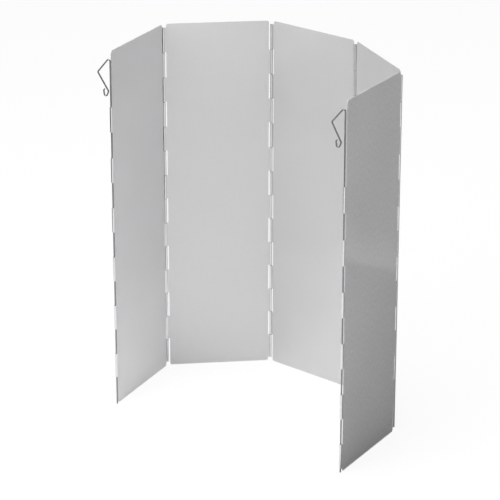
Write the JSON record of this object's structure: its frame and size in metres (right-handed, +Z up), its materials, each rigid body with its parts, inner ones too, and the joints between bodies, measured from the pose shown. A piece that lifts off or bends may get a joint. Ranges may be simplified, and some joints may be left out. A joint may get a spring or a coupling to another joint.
{
  "type": "folding stove windscreen",
  "caption": "Tall folding stove windscreen: flat sheet panels joined edge to edge by rolled wire hinges, with a sliding hooked ground stake in each free edge.",
  "frame": {"origin": "middle of the middle panel's lower edge, on the surface that the screen stands on", "axes": "+X along the middle panel towards the right end panel, +Y to the outside of the screen, +Z up"},
  "size_m": [0.4068, 0.2592, 0.5],
  "materials": {
    "sheet": "fine-grained mill-finish sheet, clear anodised, satin",
    "wire": "drawn and nickel-plated steel wire"
  },
  "bodies": {
    "middle": {"middle_panel": "sheet", "left_inner_pin": "wire", "right_inner_pin": "wire"},
    "left_back": {"left_back_panel": "sheet", "left_outer_pin": "wire"},
    "left_end": {"left_end_panel": "sheet"},
    "right_back": {"right_back_panel": "sheet", "right_outer_pin": "wire"},
    "right_end": {"right_end_panel": "sheet"},
    "left_stake": {"left_stake": "wire"},
    "right_stake": {"right_stake": "wire"}
  },
  "joints": [
    {"name": "left_inner_hinge", "type": "hinge", "parent": "middle", "child": "left_back", "pos_m": [-0.0735, -0.0006, 0], "axis": [0, 0, -1], "range_deg": [-86.7, 188.3]},
    {"name": "left_outer_hinge", "type": "hinge", "parent": "left_back", "child": "left_end", "pos_m": [-0.17129, -0.11036, 0], "axis": [0, 0, 1], "range_deg": [-197.2, 120.8]},
    {"name": "right_inner_hinge", "type": "hinge", "parent": "middle", "child": "right_back", "pos_m": [0.0735, -0.0006, 0], "axis": [0, 0, -1], "range_deg": [-27.7, 150.3]},
    {"name": "right_outer_hinge", "type": "hinge", "parent": "right_back", "child": "right_end", "pos_m": [0.20365, -0.06893, 0], "axis": [0, 0, 1], "range_deg": [-35.3, 191.4]},
    {"name": "left_stake_slide", "type": "slide", "parent": "left_end", "child": "left_stake", "axis": [0, 0, -1], "range_m": [0, 0.062]},
    {"name": "right_stake_slide", "type": "slide", "parent": "right_end", "child": "right_stake", "axis": [0, 0, -1], "range_m": [0, 0.097]}
  ],
  "couplings": [
    {"joint": "right_outer_hinge", "follows": "right_inner_hinge", "ratio": 1.2728}
  ]
}
